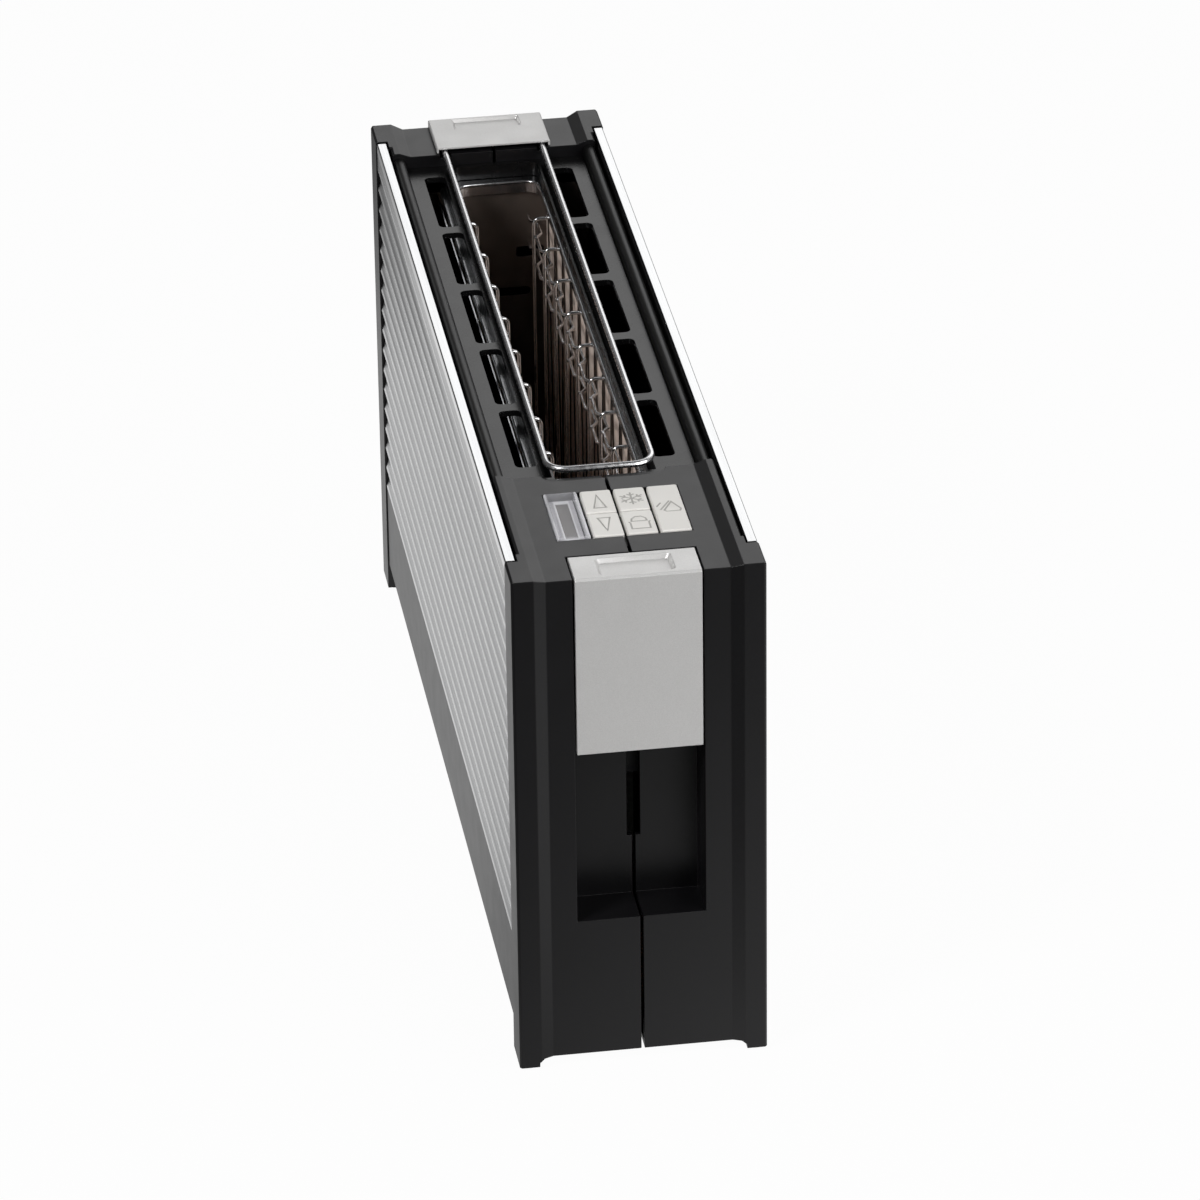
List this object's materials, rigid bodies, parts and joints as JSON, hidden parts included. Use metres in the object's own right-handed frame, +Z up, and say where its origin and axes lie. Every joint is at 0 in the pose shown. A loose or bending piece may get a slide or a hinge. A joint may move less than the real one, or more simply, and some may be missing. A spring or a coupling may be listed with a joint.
{
  "type": "long-slot toaster",
  "caption": "Narrow upright long-slot toaster with fluted aluminium sides, a lever at one end, a small keypad, centring wire guards, a lift-up wire warming rack and a rear crumb tray.",
  "frame": {"origin": "on the floor under the middle of the toaster", "axes": "+X across the body to the right seen from the lever end, +Y along the body from the lever end to the rear end, +Z up"},
  "size_m": [0.098, 0.424, 0.2168],
  "materials": {
    "black_plastic": "fine-textured black moulding",
    "black_grille": "satin black moulding",
    "aluminium": "anodised extrusion, satin",
    "silver_finish": "silver paint, satin",
    "pale_plastic": "pale grey moulding with raised symbols",
    "bright_steel": "bright steel",
    "grey_steel": "plain zinc-grey steel",
    "dark_steel": "heat-darkened sheet",
    "mica": "pressed mica sheet",
    "heater_alloy": "oxidised heating ribbon",
    "rubber": "black rubber",
    "circuit_board": "green coated board",
    "clear_plastic": "clear polished window",
    "display_grey": "grey display strip",
    "copper": "wound copper on an iron core"
  },
  "bodies": {
    "housing": {"front_cap_left": "black_plastic", "front_cap_right": "black_plastic", "rear_cap_left": "black_plastic", "rear_cap_right": "black_plastic", "foot_pad_front_left": "rubber", "foot_pad_front_right": "rubber", "foot_pad_rear_left": "rubber", "foot_pad_rear_right": "rubber", "side_panel_left": "aluminium", "side_panel_right": "aluminium", "skirt_left": "black_plastic", "skirt_right": "black_plastic", "inner_wall_left": "black_plastic", "inner_wall_right": "black_plastic", "base_plate": "grey_steel", "housing_screw_left_1": "grey_steel", "housing_screw_left_2": "grey_steel", "housing_screw_right_1": "grey_steel", "housing_screw_right_2": "grey_steel", "cord_gland": "rubber", "vent_cover": "black_grille", "slot_liner": "bright_steel", "chamber_end_front": "dark_steel", "chamber_end_rear": "dark_steel", "reflector_left": "bright_steel", "reflector_right": "bright_steel", "mica_card_left": "mica", "mica_card_right": "mica", "heater_ribbon_left": "heater_alloy", "heater_ribbon_right": "heater_alloy", "return_spring": "grey_steel", "mechanism_frame": "grey_steel", "guide_rod_left": "bright_steel", "guide_rod_right": "bright_steel", "latch_magnet": "copper", "power_board": "circuit_board", "control_board": "circuit_board", "button_carrier": "black_plastic", "display_window": "clear_plastic", "display_panel": "display_grey", "rack_guide": "black_plastic"},
    "lever": {"lever_cover": "silver_finish", "lever_stem": "grey_steel", "carriage": "black_plastic", "armature": "grey_steel", "bread_rack": "grey_steel"},
    "guard_left": {"guard_left": "bright_steel"},
    "guard_right": {"guard_right": "bright_steel"},
    "rack": {"rack_handle": "silver_finish", "rack_wire": "bright_steel", "rack_leg_left": "grey_steel", "rack_leg_right": "grey_steel"},
    "tray": {"crumb_tray": "grey_steel", "crumb_tray_front": "black_plastic"},
    "button_up": {"button_up": "pale_plastic"},
    "button_down": {"button_down": "pale_plastic"},
    "button_defrost": {"button_defrost": "pale_plastic"},
    "button_bun": {"button_bun": "pale_plastic"},
    "button_stop": {"button_stop": "pale_plastic"}
  },
  "joints": [
    {"name": "lever_slide", "type": "slide", "parent": "housing", "child": "lever", "axis": [0, 0, -1], "range_m": [0, 0.072], "stiffness_N_per_m": 120, "springref_m": -0.08, "deforming": ["return_spring"]},
    {"name": "guard_left_slide", "type": "slide", "parent": "housing", "child": "guard_left", "axis": [1, 0, 0], "range_m": [0, 0.0035]},
    {"name": "guard_right_slide", "type": "slide", "parent": "housing", "child": "guard_right", "axis": [-1, 0, 0], "range_m": [0, 0.0035]},
    {"name": "rack_lift", "type": "slide", "parent": "housing", "child": "rack", "axis": [0, 0, 1], "range_m": [0, 0.045]},
    {"name": "tray_slide", "type": "slide", "parent": "housing", "child": "tray", "axis": [0, 1, 0], "range_m": [0, 0.28]},
    {"name": "button_up_press", "type": "slide", "parent": "housing", "child": "button_up", "axis": [0, 0, -1], "range_m": [0, 0.0008], "stiffness_N_per_m": 400, "springref_m": -0.002},
    {"name": "button_down_press", "type": "slide", "parent": "housing", "child": "button_down", "axis": [0, 0, -1], "range_m": [0, 0.0008], "stiffness_N_per_m": 400, "springref_m": -0.002},
    {"name": "button_defrost_press", "type": "slide", "parent": "housing", "child": "button_defrost", "axis": [0, 0, -1], "range_m": [0, 0.0008], "stiffness_N_per_m": 400, "springref_m": -0.002},
    {"name": "button_bun_press", "type": "slide", "parent": "housing", "child": "button_bun", "axis": [0, 0, -1], "range_m": [0, 0.0008], "stiffness_N_per_m": 400, "springref_m": -0.002},
    {"name": "button_stop_press", "type": "slide", "parent": "housing", "child": "button_stop", "axis": [0, 0, -1], "range_m": [0, 0.0008], "stiffness_N_per_m": 400, "springref_m": -0.002}
  ],
  "couplings": [
    {"joint": "guard_left_slide", "follows": "lever_slide", "ratio": 0.0486},
    {"joint": "guard_right_slide", "follows": "lever_slide", "ratio": 0.0486}
  ]
}
